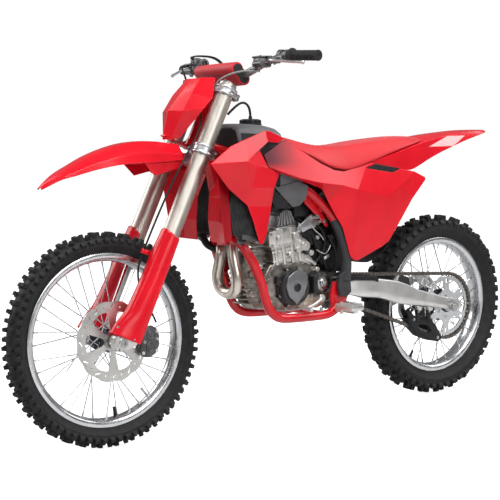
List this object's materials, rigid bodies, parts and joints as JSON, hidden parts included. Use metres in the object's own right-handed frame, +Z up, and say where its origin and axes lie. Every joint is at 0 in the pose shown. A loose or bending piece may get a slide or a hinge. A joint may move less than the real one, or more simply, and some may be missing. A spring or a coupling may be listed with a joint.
{
  "type": "motocross bike",
  "caption": "Off-road motorcycle with knobby tyres, a long upright fork, a single-cylinder engine in a cradle frame, chain drive and faceted fairings",
  "frame": {"origin": "the rider's place on top of the seat, on the bike's centre plane; the ground is 949 mm below it", "axes": "+X forward along the bike, +Y to the rider's left, +Z up with both wheels on the ground"},
  "size_m": [2.1706, 0.8163, 1.2778],
  "materials": {
    "tyre": "matt",
    "rim": "satin",
    "hub": "satin",
    "disc": "brushed",
    "chain": "oiled",
    "clamp": "satin",
    "fork": "polished",
    "bar": "satin",
    "red_plastic": "gloss",
    "black_plastic": "matt",
    "frame": "gloss",
    "subframe": "satin",
    "engine": "cast",
    "header": "polished",
    "seat": "grained",
    "rubber": "matt",
    "foam": "grained",
    "steel": "satin"
  },
  "bodies": {
    "chassis": {"chain": "chain", "frame_spine": "frame", "frame_cradle": "frame", "frame_guards": "black_plastic", "subframe": "subframe", "engine_cases": "engine", "cylinder": "engine", "engine_stays": "clamp", "front_sprocket": "steel", "header_pipe": "header", "silencer": "header", "radiators": "black_plastic", "shrouds": "red_plastic", "fuel_tank": "black_plastic", "fuel_cap": "black_plastic", "vent_hose": "rubber", "seat": "seat", "side_panels": "red_plastic", "rear_fender": "red_plastic", "airbox": "black_plastic", "swingarm": "clamp", "rear_axle": "steel", "rear_caliper": "black_plastic", "shock": "steel", "chain_guide": "black_plastic", "foot_controls": "steel"},
    "steering": {"upper_clamp": "clamp", "lower_clamp": "clamp", "fork_tubes": "fork", "fork_feet": "fork", "front_axle": "steel", "fork_guards": "red_plastic", "front_caliper": "black_plastic", "front_fender": "red_plastic", "number_plate": "red_plastic", "handlebar": "bar", "bar_pad": "foam", "grips": "rubber", "hand_controls": "clamp", "throttle_cables": "rubber", "clutch_cable": "rubber", "brake_hose": "rubber"},
    "front_wheel": {"front_tyre": "tyre", "front_rim": "rim", "front_hub": "hub", "front_disc": "disc"},
    "rear_wheel": {"rear_tyre": "tyre", "rear_rim": "rim", "rear_hub": "hub", "rear_disc": "disc", "rear_sprocket": "rim"}
  },
  "joints": [
    {"name": "steering_turn", "type": "hinge", "parent": "chassis", "child": "steering", "pos_m": [0.86061, 0, -0.6262], "axis": [-0.4399, 0, 0.898], "range_deg": [-38.8, 49.2]},
    {"name": "front_wheel_spin", "type": "hinge", "parent": "steering", "child": "front_wheel", "pos_m": [0.9098, -0.00498, -0.6021], "axis": [0.0814, 0.9959, 0.0399], "continuous": true},
    {"name": "rear_wheel_spin", "type": "hinge", "parent": "chassis", "child": "rear_wheel", "pos_m": [-0.575, 0, -0.609], "axis": [0, 1, 0], "continuous": true}
  ]
}
